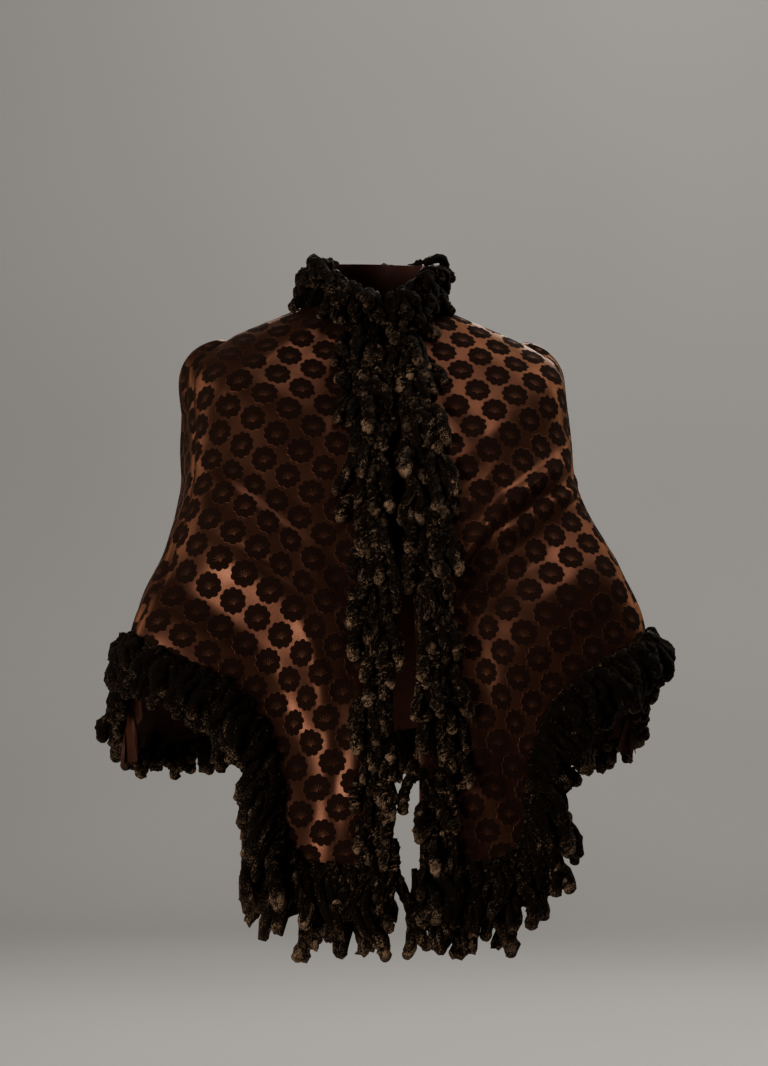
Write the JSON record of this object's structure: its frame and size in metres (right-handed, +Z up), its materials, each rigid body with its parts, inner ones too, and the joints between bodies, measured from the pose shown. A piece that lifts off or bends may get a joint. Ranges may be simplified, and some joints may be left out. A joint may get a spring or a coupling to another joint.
{
  "type": "visite mantle",
  "caption": "Short figured-velvet visite mantle in its worn form, open down the front, with wide sling sleeves, a standing collar and heavy chenille fringe on every edge.",
  "frame": {"origin": "middle of the neck seam, where the wearer's neck and shoulders hold the mantle up", "axes": "+Z up, +X to the wearer's left, -Y the way the wearer faces"},
  "size_m": [0.6289, 0.4241, 0.7369],
  "materials": {
    "figured_velvet": "copper-brown satin ground with dark velvet flowers",
    "lining_satin": "plain reddish-brown satin",
    "chenille": "dark brown matt chenille pile"
  },
  "bodies": {
    "root": {"front_left": "figured_velvet", "front_right": "figured_velvet", "sleeve_left": "figured_velvet", "sleeve_right": "figured_velvet", "back_left": "figured_velvet", "back_right": "figured_velvet", "collar": "figured_velvet", "sleeve_lining_left": "lining_satin", "sleeve_lining_right": "lining_satin", "collar_fringe": "chenille", "front_fringe_left": "chenille", "front_fringe_right": "chenille", "hem_fringe_left": "chenille", "hem_fringe_right": "chenille", "sleeve_fringe_left": "chenille", "sleeve_fringe_right": "chenille", "back_fringe": "chenille"}
  },
  "joints": []
}
